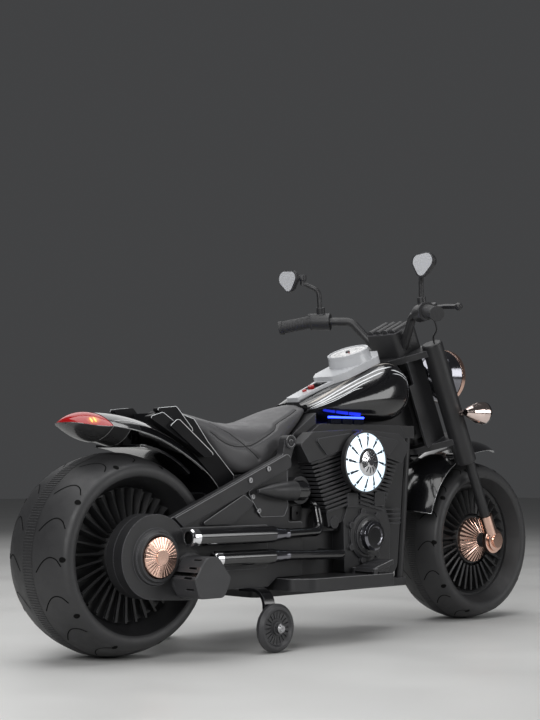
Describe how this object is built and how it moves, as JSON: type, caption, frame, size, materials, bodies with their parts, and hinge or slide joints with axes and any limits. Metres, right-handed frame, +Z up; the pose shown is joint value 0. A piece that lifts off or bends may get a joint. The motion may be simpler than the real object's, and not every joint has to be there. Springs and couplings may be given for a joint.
{
  "type": "kids electric motorbike",
  "caption": "Ride-on battery motorbike for a child: fat turbine-vane wheels, padded saddle, finned mock engine, twin pipes, raked fork, training wheels, pedal and geared rear drive.",
  "frame": {"origin": "on the ground under the middle of the bounding box, in the plane of both wheels", "axes": "+X forward, +Y to the rider's left, +Z up"},
  "size_m": [1.1608, 0.405, 0.6624],
  "materials": {
    "gloss_black": "gloss",
    "matte_black": "matte",
    "dark_grey": "satin",
    "tyre_grey": "matte",
    "wheel_black": "satin",
    "rose_gold": "bright plated",
    "chrome": "bright plated",
    "silver": "silver gloss",
    "seat_leather": "soft grain",
    "red_lens": "clear red",
    "white_lens": "milky, lit from behind",
    "clear_lens": "clear",
    "blue_light": "lit strip",
    "steel": "plain",
    "brass": "plain",
    "gear_nylon": "plain",
    "battery_case": "plain",
    "grip_rubber": "matte",
    "button_red": "gloss"
  },
  "bodies": {
    "frame": {"air_cleaner_lenses": "white_lens", "air_cleaners": "matte_black", "axle_housing_left": "matte_black", "battery": "battery_case", "body_half_left": "matte_black", "body_half_right": "matte_black", "charging_socket": "matte_black", "console": "silver", "engine_covers": "matte_black", "exhaust_tips": "chrome", "exhausts": "gloss_black", "fasteners": "steel", "floor_pan": "matte_black", "gauge_dial": "silver", "gearbox_case": "matte_black", "gearbox_cover": "matte_black", "intake_pods": "matte_black", "light_bars": "blue_light", "motor": "steel", "motor_cover": "dark_grey", "rear_axle": "rose_gold", "rear_fender": "gloss_black", "seat_cowl": "gloss_black", "seat_pad": "seat_leather", "seat_pan": "matte_black", "side_panels": "matte_black", "tail_base": "gloss_black", "tail_lamp_lens": "red_lens", "tank_halves": "gloss_black", "training_arms": "gloss_black"},
    "rear_wheel": {"rear_tyre": "tyre_grey", "rear_rims": "wheel_black", "drive_gear": "gear_nylon"},
    "idler": {"idler_gear": "gear_nylon"},
    "pinion": {"motor_pinion": "brass"},
    "training_wheel_right": {"training_wheel_right": "dark_grey"},
    "training_wheel_left": {"training_wheel_left": "dark_grey"},
    "pedal": {"accelerator_pedal": "matte_black"},
    "power_button": {"power_button": "button_red"},
    "rocker": {"direction_rocker": "matte_black"},
    "steering": {"fork_covers": "matte_black", "fork_sliders": "matte_black", "front_axle": "rose_gold", "fork_crown": "matte_black", "front_fender": "gloss_black", "headlight_bucket": "gloss_black", "headlight_lens": "clear_lens", "indicators": "rose_gold", "handlebars": "matte_black", "grips": "grip_rubber", "switch_housings": "matte_black", "mirror_stems": "matte_black", "handlebar_box": "matte_black", "brake_cable": "grip_rubber"},
    "front_wheel": {"front_tyre": "tyre_grey", "front_rims": "wheel_black", "front_hub_caps": "rose_gold"},
    "brake_lever": {"brake_lever": "matte_black"},
    "mirror_right": {"mirror_right": "matte_black"},
    "mirror_left": {"mirror_left": "matte_black"}
  },
  "joints": [
    {"name": "rear_wheel_spin", "type": "hinge", "parent": "frame", "child": "rear_wheel", "pos_m": [-0.42448, 0, 0.156], "axis": [0, 1, 0], "continuous": true},
    {"name": "idler_spin", "type": "hinge", "parent": "frame", "child": "idler", "pos_m": [-0.38118, 0, 0.15182], "axis": [0, 1, 0], "continuous": true},
    {"name": "pinion_spin", "type": "hinge", "parent": "frame", "child": "pinion", "pos_m": [-0.35948, 0, 0.125], "axis": [0, 1, 0], "continuous": true},
    {"name": "training_right_spin", "type": "hinge", "parent": "frame", "child": "training_wheel_right", "pos_m": [-0.21048, -0.144, 0.038], "axis": [0, 1, 0], "continuous": true},
    {"name": "training_left_spin", "type": "hinge", "parent": "frame", "child": "training_wheel_left", "pos_m": [-0.21048, 0.144, 0.038], "axis": [0, 1, 0], "continuous": true},
    {"name": "pedal_press", "type": "hinge", "parent": "frame", "child": "pedal", "pos_m": [0.02152, -0.123, 0.115], "axis": [0, 1, 0], "range_deg": [0, 12], "stiffness_Nm_per_rad": 2, "springref_deg": -8.59},
    {"name": "power_button_press", "type": "slide", "parent": "frame", "child": "power_button", "axis": [0.3733, 0, -0.9277], "range_m": [0, 0.003], "stiffness_N_per_m": 800, "springref_m": -0.002},
    {"name": "direction_rocker_tilt", "type": "hinge", "parent": "frame", "child": "rocker", "pos_m": [0.03607, 0, 0.43445], "axis": [0, 1, 0], "range_deg": [-8, 8]},
    {"name": "steering_turn", "type": "hinge", "parent": "frame", "child": "steering", "pos_m": [0.26932, 0, 0.4], "axis": [-0.4115, 0, 0.9114], "range_deg": [-28, 28]},
    {"name": "front_wheel_spin", "type": "hinge", "parent": "steering", "child": "front_wheel", "pos_m": [0.43048, 0, 0.15], "axis": [0, 1, 0], "continuous": true},
    {"name": "brake_lever_pull", "type": "hinge", "parent": "steering", "child": "brake_lever", "pos_m": [0.20372, -0.122, 0.57446], "axis": [0.4115, 0, -0.9114], "range_deg": [0, 14], "stiffness_Nm_per_rad": 0.8, "springref_deg": -11.46},
    {"name": "mirror_right_turn", "type": "hinge", "parent": "steering", "child": "mirror_right", "pos_m": [0.14628, -0.15, 0.63849], "axis": [0, 0, 1], "range_deg": [-20, 20]},
    {"name": "mirror_left_turn", "type": "hinge", "parent": "steering", "child": "mirror_left", "pos_m": [0.14628, 0.15, 0.63849], "axis": [0, 0, 1], "range_deg": [-20, 20]}
  ],
  "couplings": [
    {"joint": "idler_spin", "follows": "rear_wheel_spin", "ratio": -3.8333},
    {"joint": "pinion_spin", "follows": "rear_wheel_spin", "ratio": 10.861}
  ]
}
